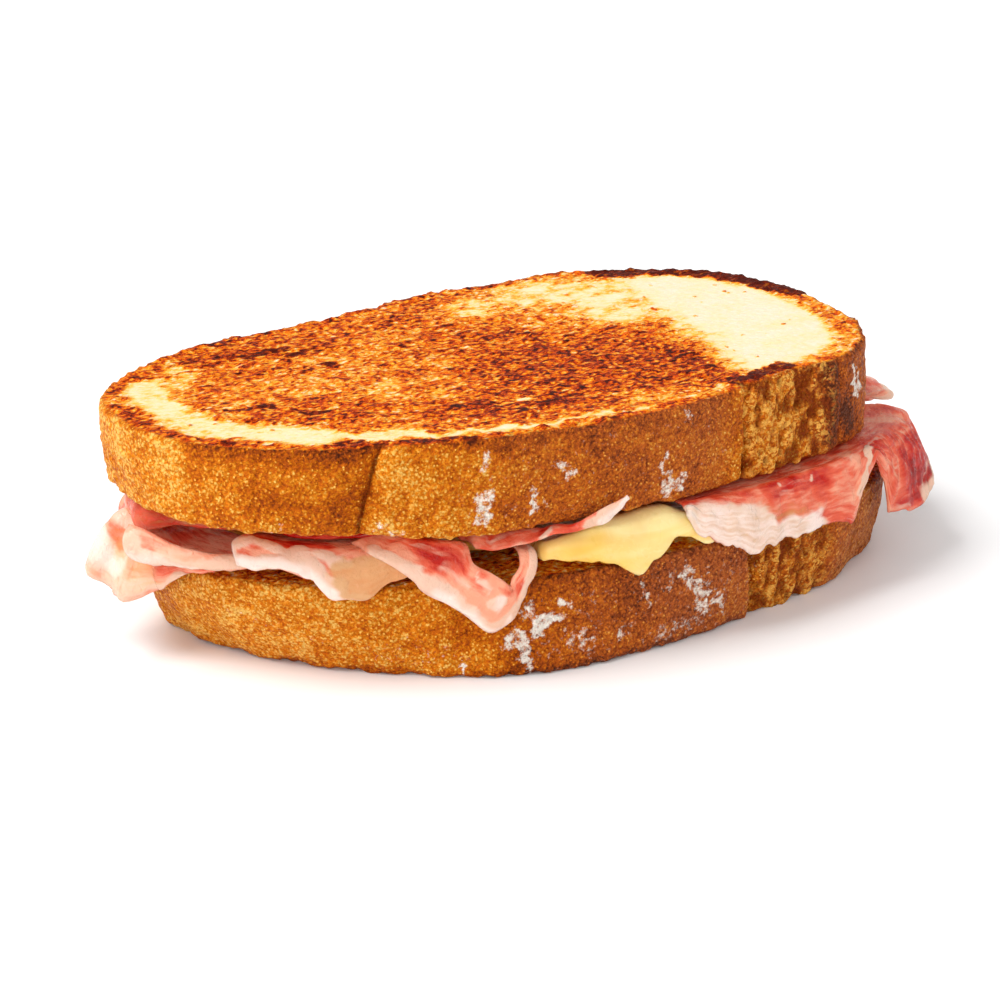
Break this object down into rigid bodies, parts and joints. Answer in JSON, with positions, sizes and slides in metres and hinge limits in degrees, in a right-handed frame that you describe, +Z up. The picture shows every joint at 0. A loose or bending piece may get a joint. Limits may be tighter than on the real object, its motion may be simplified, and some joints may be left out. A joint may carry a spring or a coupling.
{
  "type": "ham and cheese toastie",
  "caption": "Toasted sandwich of thick farmhouse bread laid flat, with melted cheese and folded dry-cured ham hanging out over the lower slice.",
  "frame": {"origin": "under the middle of the whole, on the flat underside of the lower slice", "axes": "+X along the slices towards their right end, +Z up from the surface it rests on, front towards -Y"},
  "size_m": [0.1812, 0.096, 0.0518],
  "materials": {
    "crust": "toasted bread: sandy golden-brown crust, browned and flaked upper face over pale crumb, patches of flour",
    "cheese": "melted cheese: smooth, slightly glossy and translucent",
    "ham": "dry-cured ham: moist sheen, coral red meat with pale translucent rims of fat"
  },
  "bodies": {
    "root": {"bread_lower": "crust", "bread_upper": "crust", "cheese_slice": "cheese", "ham_middle": "ham", "ham_front_loop": "ham", "ham_front_left": "ham", "ham_left_strip": "ham", "ham_left_fold": "ham", "ham_front_sliver": "ham", "ham_upper_left": "ham", "ham_right": "ham", "ham_right_end": "ham", "ham_back_left": "ham", "ham_back_right": "ham"}
  },
  "joints": []
}
